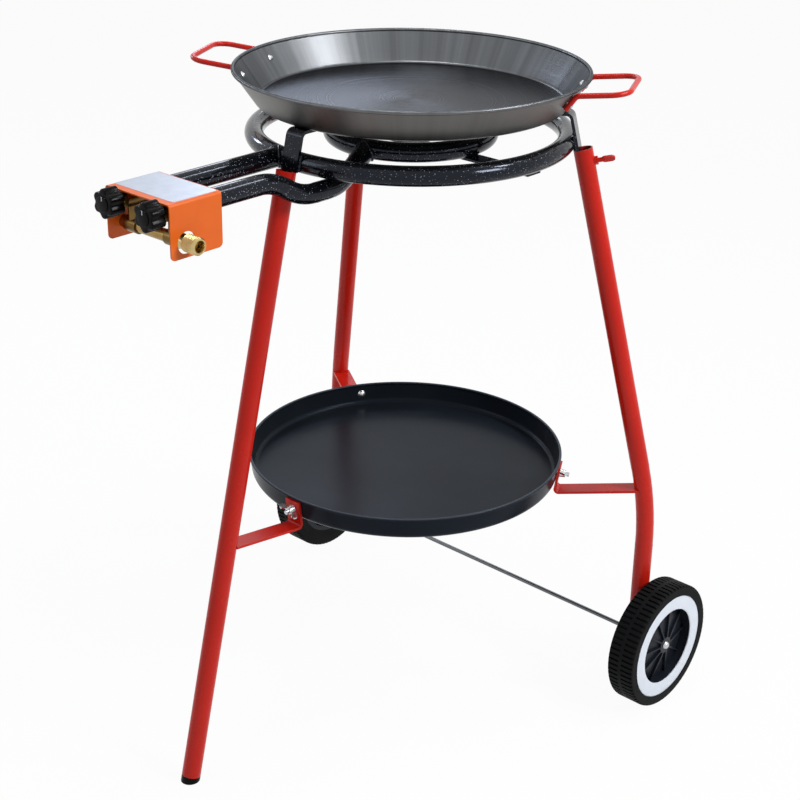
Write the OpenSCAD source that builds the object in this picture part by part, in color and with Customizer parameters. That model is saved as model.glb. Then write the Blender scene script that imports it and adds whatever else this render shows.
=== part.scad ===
// Two-ring gas burner for a paella pan, on a three-legged stand with two wheels and a lower tray.
// Millimetres, +Z up. The gas valves and the plain foot point to -Y, and the axle lies along X.
// The origin is on the floor, under the middle of the whole object.

/* [Pan] */
// Height of the pan's rim above the floor
rim_height = 885; // [820:1:950]
// Diameter of the pan across its rim
pan_diameter = 460; // [440:1:480]
// Depth of the pan, rim to underside
pan_depth = 44; // [38:1:55]
// Diameter where the pan's floor meets its wall
pan_base = 398; // [370:1:410]
// Thickness of the pan's sheet
pan_sheet = 1.5; // [1:0.1:2.5]
// Bend radius between the pan's floor and wall
pan_bend = 8; // [6:1:20]
// Diameter of the pan's rolled edge
pan_edge = 5; // [4:0.5:7]

/* [Pan handles] */
// Turn of the handles about the pan's axis
handle_angle = 26.5; // [10:0.5:60]
// Diameter of the handle wire
handle_wire = 7; // [5:0.5:9]
// Spacing of a handle's two arms
handle_width = 105; // [85:1:115]
// Distance from the pan's axis to the middle of the grip wire
handle_reach = 285; // [275:1:300]
// Bend radius at the grip's corners
handle_corner = 22; // [10:1:30]
// Bend radius where an arm turns down the pan's wall
handle_knee = 9; // [6:1:14]
// Rise of the handles towards their grips, in degrees
handle_rise = 6; // [0:0.5:10]
// Height of a handle's riveted tail
handle_tail = 18; // [16:1:28]
// Diameter of the handle rivets
rivet_diameter = 4; // [3:0.5:5]
// Diameter of a rivet head
rivet_head = 9; // [7:0.5:11]
// Height of a rivet head
rivet_head_height = 2; // [1:0.5:3]
// Diameter of a rivet's closed end on the wire
rivet_tail = 6; // [5:0.5:7]
// Height of a rivet's closed end
rivet_tail_height = 1; // [0.5:0.5:2]

/* [Burner] */
// Clear height from the ring tubes to the pan
flame_gap = 28.5; // [20:0.5:45]
// Diameter of the outer ring at the tube's middle
outer_ring = 404; // [380:1:420]
// Diameter of the inner ring at the tube's middle
inner_ring = 202; // [170:1:230]
// Outside diameter of the ring and feed tubes
burner_tube = 25; // [22:0.5:28]
// Wall thickness of the ring and feed tubes
burner_wall = 1.5; // [1:0.1:2.5]
// Number of flame ports in the outer ring
outer_ports = 60; // [24:2:96]
// Number of flame ports in the inner ring
inner_ports = 32; // [12:2:60]
// Diameter of a flame port
port_diameter = 2.5; // [1.5:0.1:3.5]
// Tilt of the flame ports in from the vertical
port_tilt = 40; // [0:5:60]
// Width of the cross strap under the rings
strap_width = 25; // [16:1:32]
// Thickness of the cross strap
strap_thickness = 3; // [2:0.5:6]
// Length of the cross strap past the middle of the outer ring's tube
strap_end = 1.5; // [1:0.5:8]

/* [Feed tubes] */
// Sideways distance of each feed tube from the middle
feed_offset = 35; // [33:0.5:38]
// Distance from the burner's axis to the mouths of the feed tubes
feed_reach = 381; // [370:1:400]
// Distance from the burner's axis to the start of the inner feed tube's swan neck
neck_reach = 303; // [298:1:320]
// Sideways bow of the inner feed tube
feed_bow = 6; // [2:1:14]
// Bend radius of the inner feed tube's swan neck
feed_bend = 75; // [60:1:80]
// Straight between the two bends of the swan neck
neck_run = 6; // [2:1:15]
// Straight run below the outer ring
feed_pass = 22; // [14:1:30]
// Bend radius towards the inner ring
feed_rise = 80; // [60:1:100]
// Sideways place of the joint on the inner ring
feed_landing = 18; // [8:1:30]
// Gap between the inner feed tube and the outer ring above it
feed_gap = 1.5; // [1:0.5:5]

/* [Pan supports] */
// Width of the support bar
support_width = 26; // [22:0.5:30]
// Thickness of the support bar
support_thickness = 4; // [3:0.5:5]
// Bend radius at the top of a support, at its middle
support_bend = 8; // [5:1:14]
// Length of a support's finger under the pan's floor
finger_lap = 22; // [10:1:40]
// Width of the tang inside a leg
tang_width = 16.5; // [12:0.5:18]
// Length of the tang inside a leg
tang_length = 45; // [35:1:70]

/* [Legs] */
// Lean of the legs from the vertical
leg_lean = 13.5; // [10:0.5:16]
// Outside diameter of the leg tube
leg_tube = 25; // [22:0.5:28]
// Wall thickness of the leg tube
leg_wall = 1.5; // [1:0.1:2]
// Height of the bend in the two wheel legs
leg_bend_height = 295; // [240:1:310]
// Bend radius of the wheel legs
leg_bend = 500; // [250:10:600]
// Length of a wheel leg below the axle
leg_tail = 16; // [12:1:30]
// Least thickness of the foot plug under the tube
foot_thickness = 4; // [2:0.5:10]
// Length of the foot plug inside the tube
foot_plug = 20; // [12:1:40]

/* [Clamp screws] */
// Diameter of the clamp screws
clamp_screw = 6; // [5:0.5:8]
// Distance from a leg's mouth down to its clamp screw
clamp_drop = 18; // [14:1:30]
// Width of the weld nut across its flats
clamp_nut = 10; // [9:0.5:14]
// Height of the weld nut outside the leg
clamp_nut_height = 4; // [3:0.5:8]
// Bare neck between the weld nut and the paddle
clamp_neck = 4; // [2:0.5:10]
// Length of the paddle head
paddle_length = 18; // [14:1:26]
// Width of the paddle head
paddle_width = 11; // [9:0.5:16]
// Thickness of the paddle head
paddle_thickness = 2.5; // [2:0.5:4]
// Turn of the paddles at rest
paddle_turn = 40; // [0:5:90]

/* [Lower tray] */
// Height of the tray's rim above the floor
tray_height = 348; // [330:1:380]
// Diameter of the tray across its rim
tray_diameter = 440; // [400:1:450]
// Depth of the tray
tray_depth = 32; // [28:1:40]
// Flare of the tray's wall from the vertical
tray_flare = 8; // [3:0.5:14]
// Thickness of the tray's sheet
tray_sheet = 1.2; // [1:0.1:2.5]
// Bend radius between the tray's floor and wall
tray_bend = 8; // [4:1:12]
// Diameter of the tray's rolled edge
tray_edge = 4; // [3:0.5:6]

/* [Tray brackets] */
// Width of the bracket bar
bracket_width = 25; // [18:0.5:25]
// Thickness of the bracket bar
bracket_thickness = 3.5; // [2.5:0.5:5]
// Bend radius of a bracket, at its middle
bracket_bend = 5; // [3:0.5:8]
// Rise of a bracket's arm towards the leg, in degrees
bracket_rise = 8; // [0:0.5:12]
// Depth of the tray bolts below the tray's rim
bolt_depth = 16; // [14:0.5:18]
// Length of a bracket's tab above its bolt
tab_above = 12; // [8:0.5:12]
// Length of a bracket's tab below its bolt, down to the arm
tab_below = 27; // [24:0.5:32]
// Diameter of the tray bolts
tray_bolt = 6; // [5:0.5:8]
// Length of a tray bolt beyond the bracket
bolt_tail = 13; // [10:1:20]
// Diameter of a bolt's round head
bolt_head = 12; // [10:0.5:16]
// Height of a bolt's round head
bolt_head_height = 3; // [2:0.5:4]
// Span of a wing nut across its wings
wing_span = 30; // [26:1:34]
// Height of a wing nut's boss
wing_boss = 8; // [6:0.5:10]
// Diameter of a wing nut's boss at its foot
wing_foot = 12; // [10:0.5:14]
// Diameter of a wing nut's boss at its top
wing_top = 9.5; // [9:0.5:12]
// Thickness of a wing
wing_thickness = 2.5; // [2:0.5:4]
// Turn of the wing nuts at rest
wing_turn = 70; // [0:5:90]

/* [Wheels] */
// Diameter of a wheel
wheel_diameter = 182; // [160:1:200]
// Width of a tyre
tyre_width = 41; // [34:1:46]
// Radius of the tyre's shoulders
tyre_shoulder = 4; // [2:0.5:6]
// Diameter of the tyre's seat on the hub
tyre_seat = 130; // [120:1:134]
// Number of tread slots in each row
tread_slots = 72; // [40:4:90]
// Width of a tread slot
tread_slot_width = 3; // [2:0.5:4]
// Depth of a tread slot
tread_slot_depth = 2.5; // [1.5:0.5:3.5]
// Width of the plain rib between the rows
tread_rib = 5; // [3:0.5:8]
// Outside diameter of the white trim ring
trim_outer = 153; // [142:1:156]
// Inside diameter of the white trim ring
trim_inner = 112; // [100:1:116]
// Thickness of the white trim ring
trim_thickness = 1.8; // [1:0.1:3]
// Depth of the trim ring's face below the tyre's face
trim_inset = 0.9; // [0.5:0.1:1.5]
// Wall of the hub's rim
hub_rim = 7; // [4:0.5:10]
// Diameter of the hub's boss
hub_boss = 24; // [18:1:32]
// Thickness of the hub's dished web
hub_web = 3; // [2:0.5:5]
// Number of ribs on the hub
hub_ribs = 10; // [5:1:14]
// Thickness of a hub rib
hub_rib = 2; // [1.5:0.5:4]
// Height of a hub rib on the web
hub_rib_height = 4; // [2:0.5:6]

/* [Axle] */
// Diameter of the axle
axle_diameter = 6; // [5:0.5:8]
// Thickness of the washer between a leg and its wheel
washer_thickness = 1.6; // [1:0.1:3]
// Diameter of the washer
washer_diameter = 18; // [16:1:22]
// Diameter of the push-on axle caps
cap_diameter = 12; // [10:0.5:16]
// Length of an axle cap
cap_length = 4.5; // [3.5:0.5:5]
// Thickness of an axle cap over the axle's end
cap_wall = 2; // [1.5:0.5:2.5]
// Depth of the axle cap's top below the tyre's outer face
cap_inset = 0.5; // [0:0.5:4]

/* [Valve cover] */
// Width of the cover
cover_width = 110; // [106:1:118]
// Distance from the gas rail to the cover's front edge
cover_nose = 23; // [20:1:30]
// Height of the cover's side plates
cover_height = 65; // [62:1:75]
// Thickness of the cover's sheet
cover_sheet = 1.5; // [1:0.1:2]
// Bend radius of the cover's top edges
cover_bend = 3; // [2:0.5:6]
// Corner radius of the side plates
cover_corner = 6; // [3:0.5:12]
// Length of feed tube under the cover's back edge
cover_lap = 4; // [2:0.5:10]
// Diameter of the hole for the gas inlet
cover_hole = 26; // [24:0.5:28]

/* [Valves] */
// Thickness of the plate across the tube mouths
plate_thickness = 2.5; // [2:0.5:4]
// Diameter of an air hole in that plate
air_hole = 4; // [3:0.5:5]
// Number of air holes round each valve
air_holes = 6; // [4:1:8]
// Distance from the feed tubes' mouths to the gas rail
rail_gap = 49; // [45:1:53]
// Depth of the gas rail below the feed tubes
rail_drop = 33.5; // [31:0.5:38]
// Diameter of the gas rail
rail_diameter = 15; // [12:0.5:16]
// Bore of the gas rail
rail_bore = 8; // [6:0.5:9]
// Wall of a valve's sleeve round the rail
sleeve_wall = 2; // [2:0.5:4]
// Width of a valve's sleeve along the rail
sleeve_width = 20; // [16:1:26]
// Diameter of a valve's barrel
barrel_diameter = 22; // [18:0.5:24]
// Length of a valve's barrel
barrel_length = 30; // [26:1:34]
// Diameter of a valve's neck down to the rail
neck_diameter = 14; // [10:0.5:16]
// Diameter of a valve's front gland
gland_diameter = 15; // [12:0.5:18]
// Gap between a valve's gland and its knob
gland_gap = 3; // [1:0.5:5]
// Diameter of a valve's threaded tail
tail_diameter = 9; // [8:0.5:10]
// Length of a valve's tail behind the plate
tail_length = 5; // [3:0.5:8]
// Diameter of a valve's stem
stem_diameter = 6; // [5:0.5:8]
// Length of a stem inside its knob
stem_grip = 14; // [10:0.5:16]
// Width of the valves' lock nuts across flats
lock_nut = 14; // [13:0.5:15]
// Height of the valves' lock nuts
lock_nut_height = 5; // [4:0.5:6]
// Width of an injector across its flats
injector_flats = 8; // [7:0.5:9]
// Length of an injector
injector_length = 9; // [6:0.5:14]
// Jet hole of an injector
injector_jet = 1; // [0.6:0.1:1.5]

/* [Gas inlet] */
// Outside diameter of the inlet's thread
inlet_diameter = 21; // [18:0.5:22]
// Bore at the inlet's mouth
inlet_bore = 14; // [11:0.5:15]
// Depth of the wide bore
inlet_bore_depth = 14; // [8:1:20]
// Length of the inlet outside the cover
inlet_length = 22; // [18:1:30]
// Chamfer at the inlet's mouth
inlet_chamfer = 1.5; // [0.5:0.5:2]
// Diameter of the inlet's neck through the cover
inlet_neck = 18; // [16:0.5:18]
// Gap between the cover and the inlet's thread
inlet_shoulder = 1; // [0.5:0.5:3]
// Length of the inlet's seat inside the cover
inlet_root = 6; // [4:0.5:8]
// Width of the rail screw across its flats
rail_screw_flats = 10; // [8:0.5:13]
// Diameter of the rail screw
rail_screw = 6; // [5:0.5:6]
// Length of the rail screw inside the rail
rail_screw_depth = 14; // [10:1:20]
// Height of the rail screw's head
rail_screw_head = 4; // [3:0.5:6]

/* [Knobs] */
// Diameter of a knob across its lobes
knob_diameter = 35; // [28:0.5:38]
// Length of a knob
knob_length = 20.5; // [16:0.5:26]
// Number of lobes on a knob
knob_lobes = 6; // [5:1:8]
// Radius of the hollows between the lobes
knob_hollow = 5.5; // [3:0.5:6]
// Depth of the hollows between the lobes
knob_hollow_depth = 3.5; // [1.5:0.5:4]
// Gap between the cover's front edge and a knob
knob_gap = 1.5; // [1:0.5:4]

/* [Fits] */
// Radial running clearance of turning pieces
run_fit = 0.08; // [0.02:0.01:0.1]
// Radial clearance of pieces that are set in place
set_fit = 0.1; // [0.05:0.05:0.3]
// Gap at a welded joint
weld_gap = 0.1; // [0.05:0.05:0.3]
// Gap between the tang's corners and a leg's bore
tang_clear = 0.15; // [0.1:0.05:0.5]
// Gap between a leg's mouth and the outer ring
mouth_clear = 0.8; // [0.5:0.1:2]
// Gap at the faces of pieces that turn
turn_gap = 0.2; // [0.1:0.05:0.4]

/* [Hidden] */
$fn = 64;
// Reach of a cut beyond the face it leaves
over = 1;
// Length of a hole drilled through sheet, bar or wire
drill = 20;
// Size of the block below the floor
big = 2000;
// Reach of a bend into its straights, and its thinning as a share of the bar's diameter
bend_lap = 0.3;
bend_thinning = 0.014;
// Straight pieces of a tyre's shoulder
shoulder_steps = 3;

// Where the three legs stand round the burner's axis
FRONT = 270;
RIGHT = 30;
LEFT = 150;

red = "#c8281e";
orange = "#eb6a24";
enamel = "#1b1d22";
steel = "#9a9a98";
zinc = "#c4c7ca";
brass = "#c9a35a";
tray_black = "#202226";
plastic = "#141416";
rubber = "#1a1a1b";
trim_white = "#e6ecf5";

// Heights and radii of the burner
pan_r = pan_diameter / 2;
pan_base_z = rim_height - pan_depth;
tube_r = burner_tube / 2;
tube_bore = burner_tube - 2 * burner_wall;
ring_z = pan_base_z - flame_gap - tube_r;
outer_r = outer_ring / 2;
inner_r = inner_ring / 2;
// A feed tube's cut end reaches this far short of the ring tube's middle
cope_stop = tube_r / 3;

// A support touches the outer ring at seat, and its leg's axis starts at mouth, in radius and height
leg_r = leg_tube / 2;
leg_bore = leg_tube - 2 * leg_wall;
leg_out = [cos(leg_lean), sin(leg_lean)];
leg_down = [sin(leg_lean), -cos(leg_lean)];
tang_offset = sqrt(pow(leg_bore / 2 - tang_clear, 2) - pow(tang_width / 2, 2));
mouth_drop = sqrt(pow(tube_r + mouth_clear, 2) - pow(tube_r + tang_offset - leg_r, 2));
seat = [outer_r, ring_z] + tube_r * leg_out;
mouth = seat + tang_offset * leg_out + mouth_drop * leg_down;

// Wheel legs turn upright at the bend, and stand on the axle
wheel_r = wheel_diameter / 2;
upright_r = mouth.x + (mouth.y - leg_bend_height) * tan(leg_lean);
bend_cut = leg_bend * tan(leg_lean / 2);
upper_run = (mouth.y - leg_bend_height) / cos(leg_lean) - bend_cut;
lower_run = leg_bend_height - bend_cut - wheel_r + leg_tail;
foot_end = foot_thickness + leg_r * sin(leg_lean);
front_run = (mouth.y - foot_end) / cos(leg_lean);

// Places along the axle, from the middle outwards
axle_y = upright_r * sin(RIGHT);
leg_face = upright_r * cos(RIGHT) + leg_r;
tyre_in = leg_face + washer_thickness + 2 * turn_gap;
tyre_out = tyre_in + tyre_width;
cap_top = tyre_out - cap_inset;
boss_out = cap_top - cap_length - turn_gap - tyre_in;
axle_end = cap_top - cap_wall - set_fit;
trim_back = tyre_width - trim_thickness - trim_inset;

// Places along the feed tubes, as distances from the burner's axis
rail_reach = feed_reach + rail_gap;
cover_back = feed_reach - cover_lap;
cover_front = rail_reach + cover_nose;
knob_back = cover_front + knob_gap;
knob_front = knob_back + knob_length;
plate_front = feed_reach + plate_thickness;
barrel_back = rail_reach - barrel_length / 2;
barrel_front = rail_reach + barrel_length / 2;
rail_z = ring_z - rail_drop;
cover_in = cover_width / 2 - cover_sheet;

// The burner's axis stands where the whole object is centred on the origin
foot_reach = mouth.x + mouth.y * tan(leg_lean) + leg_r / cos(leg_lean);
front_reach = max(knob_front, foot_reach);
back_reach = max(axle_y + wheel_r, pan_r);
axis_y = (front_reach - back_reach) / 2;

// Swan neck of the inner feed tube: down below the outer ring, then up and in to the inner ring
feed_dip = burner_tube + feed_gap;
neck_shift = norm([feed_bow, feed_dip]);
neck_angle = acos((2 * feed_bend - neck_shift) / norm([2 * feed_bend, neck_run]))
    - atan2(neck_run, 2 * feed_bend);
neck_length = 2 * feed_bend * sin(neck_angle) + neck_run * cos(neck_angle);
neck_roll = atan2(feed_dip, feed_bow);
feed_run = feed_reach - neck_reach;
rise_start = -neck_reach + neck_length + feed_pass;
landing_y = -sqrt(pow(inner_r, 2) - pow(feed_landing, 2));
rise_ahead = landing_y - rise_start;
rise_side = feed_landing - feed_offset - feed_bow;
rise_across = norm([rise_side, feed_dip]);
rise_roll = atan2(-feed_dip, rise_side);
rise_run = sqrt(pow(rise_ahead, 2) + pow(rise_across - feed_rise, 2) - pow(feed_rise, 2));
rise_angle = atan2(rise_across - feed_rise, rise_ahead) + 90 - atan2(rise_run, feed_rise);

// Pan wall: its middle line from floor to rolled edge, and the handle wire lying against it
pan_floor_z = pan_base_z + pan_sheet / 2;
pan_edge_r = pan_r - pan_edge / 2;
pan_edge_z = rim_height - pan_edge / 2;
pan_flare = atan2(pan_edge_r - pan_base / 2, pan_edge_z - pan_floor_z);
wire_off = pan_sheet / 2 + handle_wire / 2 + set_fit;
arm_z = rim_height - pan_edge - handle_wire / 2 - set_fit;
arm_y = handle_width / 2;
tail_z = arm_z - handle_tail;
tail_foot = [wire_x(tail_z), tail_z];
tail_top = [wire_x(arm_z), arm_z];
tail_slope = atan2(tail_top.y - tail_foot.y, tail_top.x - tail_foot.x);
knee_turn = tail_slope - handle_rise;
knee_cut = handle_knee * tan(knee_turn / 2);
tail_run = norm(tail_top - tail_foot) - knee_cut;
arm_run = (handle_reach - tail_top.x) / cos(handle_rise) - knee_cut - handle_corner;

// Tray wall: its middle line, and the bolts through it
tray_floor_z = tray_height - tray_depth + tray_sheet / 2;
tray_edge_r = tray_diameter / 2 - tray_edge / 2;
tray_edge_z = tray_height - tray_edge / 2;
tray_corner_r = tray_edge_r - (tray_edge_z - tray_floor_z) * tan(tray_flare);
bolt_z = tray_height - bolt_depth;
bolt_r = tray_edge_r - (tray_edge_z - bolt_z) * tan(tray_flare);
nut_face = tray_sheet / 2 + bracket_thickness;

// How far a flat of this width stands off the middle of a hollow wall of radius r
function stand_off(width, r) = r - sqrt(r * r - pow(width / 2, 2)) + set_fit;

// Points of a path whose inner corners are rounded to the given radii
function unit(v) = v / norm(v);
function corner(a, b, c, radius, steps = 8) =
    let (u = unit(a - b), v = unit(c - b), half = acos(u * v) / 2)
    let (centre = b + unit(u + v) * radius / sin(half), cut = radius / tan(half))
    let (from = b + u * cut - centre, to = b + v * cut - centre)
    [for (i = [0:steps]) centre + radius * unit(from * (1 - i / steps) + to * i / steps)];
function rounded(path, radii) = [
    path[0],
    for (i = [1:len(path) - 2]) each corner(path[i - 1], path[i], path[i + 1], radii[i - 1]),
    path[len(path) - 1]
];

// Outline of a sheet of even thickness along a path
function heading(path, i) = unit(path[min(i + 1, len(path) - 1)] - path[max(i, 0)]);
function side(path, i) =
    let (last = len(path) - 1)
    let (a = heading(path, max(i - 1, 0)), b = heading(path, min(i, last - 1)), m = unit(a + b))
    [-m.y, m.x] / (m * a);
function sheet(path, thickness) = concat(
    [for (i = [0:len(path) - 1]) path[i] + side(path, i) * thickness / 2],
    [for (i = [len(path) - 1:-1:0]) path[i] - side(path, i) * thickness / 2]
);

// Distance of the handle wire from the pan's axis, along a handle's arm, where it lies on the wall
function wire_x(z) =
    let (wall = pan_edge_r - (pan_edge_z - z) * tan(pan_flare) + wire_off / cos(pan_flare))
    sqrt(pow(wall, 2) - pow(arm_y, 2));

// Frames: the burner's level, a leg's upright plane, and a leg's own lean
module burner_level() { translate([0, axis_y, ring_z]) children(); }
module leg_plane(angle) { translate([0, axis_y, 0]) rotate([0, 0, angle]) children(); }
module leg_frame(angle) {
    leg_plane(angle) translate([seat.x, 0, seat.y]) rotate([0, -leg_lean, 0]) children();
}
module clamp_frame(angle) {
    leg_frame(angle) translate([0, 0, -mouth_drop - clamp_drop]) rotate([0, 90, 0]) children();
}
module bolt_frame(angle) {
    leg_plane(angle) translate([bolt_r, 0, bolt_z]) rotate([0, 90 + tray_flare, 0]) children();
}
module wheel_frame(way) {
    translate([way * tyre_in, axis_y + axle_y, wheel_r]) rotate([0, way * 90, 0]) children();
}
module valve_frame(way) {
    burner_level() translate([way * feed_offset, 0, 0]) rotate([90, 0, 0]) children();
}
module upright_plate(width) { rotate([90, 0, 0]) linear_extrude(width, center = true) children(); }

// Bent bar: each piece draws itself and hands on a frame whose Z is the way ahead.
// A bend is drawn a trace thinner than its straights, and its ends reach a little way into them.
module run(d, length) {
    cylinder(d = d, h = length);
    translate([0, 0, length]) children();
}
module turn(d, radius, angle, roll) {
    lap = bend_lap / radius * 180 / PI;
    rotate([0, 0, roll]) {
        translate([radius, 0, 0]) rotate([90, 0, 180]) rotate([0, 0, -lap])
            rotate_extrude(angle = angle + 2 * lap)
                translate([radius, 0]) circle(d = d * (1 - bend_thinning));
        translate([radius * (1 - cos(angle)), 0, radius * sin(angle)])
            rotate([0, angle, 0]) rotate([0, 0, -roll]) children();
    }
}
module hexagon(flats, height) { cylinder(d = flats / cos(30), h = height, $fn = 6); }

// Burner: two tube rings drilled with flame ports, each with its own feed tube
module ring_tube(radius, d) { rotate_extrude() translate([radius, 0]) circle(d = d); }
module flame_ports(radius, count) {
    for (i = [0:count - 1]) rotate([0, 0, (i + 0.5) * 360 / count])
        translate([radius, 0, 0]) rotate([0, -port_tilt, 0]) cylinder(d = port_diameter, h = tube_r + over);
}
module outer_feed_path(d, stop, start = 0) {
    landing = sqrt(pow(outer_r, 2) - pow(feed_offset, 2));
    translate([-feed_offset, -feed_reach - start, 0]) rotate([-90, 0, 0])
        run(d, feed_reach + start - landing - stop);
}
module inner_feed_path(d, stop, start = 0) {
    translate([feed_offset, -feed_reach - start, 0]) rotate([-90, 0, 0])
        run(d, feed_run + start)
        turn(d, feed_bend, neck_angle, neck_roll)
        run(d, neck_run)
        turn(d, feed_bend, neck_angle, neck_roll + 180)
        run(d, feed_pass)
        turn(d, feed_rise, rise_angle, rise_roll)
        run(d, rise_run - stop);
}
module outer_burner_ring() {
    color(enamel) burner_level() difference() {
        ring_tube(outer_r, burner_tube);
        ring_tube(outer_r, tube_bore);
        flame_ports(outer_r, outer_ports);
        outer_feed_path(tube_bore, 0);
    }
}
module inner_burner_ring() {
    color(enamel) burner_level() difference() {
        ring_tube(inner_r, burner_tube);
        ring_tube(inner_r, tube_bore);
        flame_ports(inner_r, inner_ports);
        translate([feed_landing, landing_y, 0]) rotate([-90, 0, 0])
            rotate([0, 0, rise_roll]) rotate([0, rise_angle, 0])
                translate([0, 0, -burner_tube]) cylinder(d = tube_bore, h = burner_tube);
    }
}
module outer_feed_tube() {
    color(enamel) burner_level() difference() {
        outer_feed_path(burner_tube, cope_stop);
        outer_feed_path(tube_bore, 0, over);
        ring_tube(outer_r, burner_tube + 2 * weld_gap);
    }
}
module inner_feed_tube() {
    color(enamel) burner_level() difference() {
        inner_feed_path(burner_tube, cope_stop);
        inner_feed_path(tube_bore, 0, over);
        ring_tube(inner_r, burner_tube + 2 * weld_gap);
    }
}
module cross_strap() {
    color(enamel) burner_level() translate([0, 0, -tube_r - strap_thickness / 2])
        cube([2 * (outer_r + strap_end), strap_width, strap_thickness], center = true);
}

// Pan support: a flat bar welded outside the outer ring, its top bent in to a finger under the pan,
// and its lower end narrowed to a tang that drops into the leg
module pan_support(angle) {
    middle = seat + leg_out * support_thickness / 2;
    shoulder = middle + mouth_drop * leg_down;
    finger_z = pan_base_z - support_thickness / 2;
    top = middle + leg_down * (middle.y - finger_z) / cos(leg_lean);
    tip = [pan_base / 2 - finger_lap, finger_z];
    color(enamel) leg_plane(angle) {
        upright_plate(support_width)
            polygon(sheet(rounded([tip, top, shoulder], [support_bend]), support_thickness));
        upright_plate(tang_width)
            polygon(sheet([shoulder, shoulder + tang_length * leg_down], support_thickness));
    }
}

// Legs: a straight one on a plug foot, and two that bend upright to the axle
module leg_bar(angle, d, past = 0) {
    leg_frame(angle) translate([tang_offset, 0, past - mouth_drop]) rotate([180, 0, 0])
        if (angle == FRONT) {
            run(d, front_run + 2 * past);
        } else {
            run(d, upper_run + past) turn(d, leg_bend, leg_lean, 180) run(d, lower_run + past);
        }
}
module axle_rod(d, half) {
    translate([-half, axis_y + axle_y, wheel_r]) rotate([0, 90, 0]) cylinder(d = d, h = 2 * half);
}
module leg(angle) {
    color(red) difference() {
        leg_bar(angle, leg_tube);
        leg_bar(angle, leg_bore, over);
        clamp_frame(angle) translate([0, 0, tang_offset])
            cylinder(d = clamp_screw + 2 * run_fit, h = leg_tube);
        if (angle != FRONT) axle_rod(axle_diameter + 2 * set_fit, leg_face + over);
    }
}
module foot_plug_cap() {
    color(plastic) difference() {
        leg_frame(FRONT) translate([tang_offset, 0, -mouth_drop - front_run]) {
            translate([0, 0, -foot_end * 2]) cylinder(d = leg_tube, h = foot_end * 2);
            cylinder(d = leg_bore - 2 * set_fit, h = foot_plug);
        }
        translate([-big / 2, -big / 2, -big]) cube(big);
    }
}
module clamp_nuts() {
    color(red) for (angle = [FRONT, RIGHT, LEFT]) difference() {
        clamp_frame(angle) translate([0, 0, tang_offset + leg_r / 2])
            hexagon(clamp_nut, leg_r / 2 + clamp_nut_height);
        leg_bar(angle, leg_tube + 2 * weld_gap);
        clamp_frame(angle) cylinder(d = clamp_screw + 2 * run_fit, h = leg_tube * 2);
    }
}
module clamp_screw_piece(angle) {
    tip = support_thickness + turn_gap;
    neck_end = tang_offset + leg_r + clamp_nut_height + clamp_neck;
    round_r = paddle_width / 2;
    color(red) clamp_frame(angle) rotate([0, 0, paddle_turn]) {
        translate([0, 0, tip]) cylinder(d = clamp_screw, h = neck_end + round_r - tip);
        translate([0, 0, neck_end]) upright_plate(paddle_thickness) {
            translate([0, round_r]) circle(r = round_r);
            translate([-round_r, round_r]) square([paddle_width, paddle_length - paddle_width]);
            translate([0, paddle_length - round_r]) circle(r = round_r);
        }
    }
}

// Tray, its three brackets, and the bolts and wing nuts that hold it
module lower_tray() {
    path = [[0, tray_floor_z], [tray_corner_r, tray_floor_z], [tray_edge_r, tray_edge_z]];
    color(tray_black) difference() {
        translate([0, axis_y, 0]) {
            rotate_extrude() polygon(sheet(rounded(path, [tray_bend]), tray_sheet));
            rotate_extrude() translate([tray_edge_r, tray_edge_z]) circle(d = tray_edge);
        }
        for (angle = [FRONT, RIGHT, LEFT]) bolt_frame(angle)
            cylinder(d = tray_bolt + 2 * set_fit, h = drill, center = true);
    }
}
module tray_bracket(angle) {
    wall_up = [sin(tray_flare), cos(tray_flare)];
    wall_out = [cos(tray_flare), -sin(tray_flare)];
    ahead = [cos(bracket_rise), sin(bracket_rise)];
    bolt = [bolt_r, bolt_z] + wall_out * (tray_sheet + bracket_thickness) / 2;
    elbow = bolt - tab_below * wall_up;
    arm_to_axis = (mouth.x + (mouth.y - elbow.y) * tan(leg_lean) - elbow.x)
        / (ahead.x + ahead.y * tan(leg_lean));
    path = [bolt + tab_above * wall_up, elbow, elbow + ahead * (arm_to_axis - leg_r / 2)];
    color(red) difference() {
        leg_plane(angle) upright_plate(bracket_width)
            polygon(sheet(rounded(path, [bracket_bend]), bracket_thickness));
        bolt_frame(angle) cylinder(d = tray_bolt + 2 * set_fit, h = drill);
        leg_bar(angle, leg_tube + 2 * weld_gap);
    }
}
module tray_bolts() {
    head_z = -tray_sheet / 2 - stand_off(bolt_head, bolt_r - bolt_head / 2);
    dome_r = (pow(bolt_head / 2, 2) + pow(bolt_head_height, 2)) / (2 * bolt_head_height);
    color(zinc) for (angle = [FRONT, RIGHT, LEFT]) bolt_frame(angle) {
        translate([0, 0, head_z - bolt_head_height / 2])
            cylinder(d = tray_bolt, h = nut_face + bolt_tail - head_z + bolt_head_height / 2);
        intersection() {
            translate([0, 0, head_z - bolt_head_height]) cylinder(d = bolt_head + over, h = bolt_head_height);
            translate([0, 0, head_z - bolt_head_height + dome_r]) sphere(r = dome_r);
        }
    }
}
module wing_nut(angle) {
    ear_r = wing_boss / 2;
    ear_x = wing_span / 2 - ear_r;
    color(zinc) bolt_frame(angle) rotate([0, 0, wing_turn]) translate([0, 0, nut_face + turn_gap])
        difference() {
            union() {
                cylinder(d1 = wing_foot, d2 = wing_top, h = wing_boss);
                for (way = [0, 180]) rotate([0, 0, way]) upright_plate(wing_thickness) {
                    polygon([[0, 0], [wing_foot / 2, 0], [ear_x + ear_r, wing_boss], [0, wing_boss]]);
                    translate([ear_x, wing_boss]) circle(r = ear_r);
                }
            }
            translate([0, 0, -over]) cylinder(d = tray_bolt + 2 * run_fit, h = wing_boss + 2 * over);
        }
}

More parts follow.
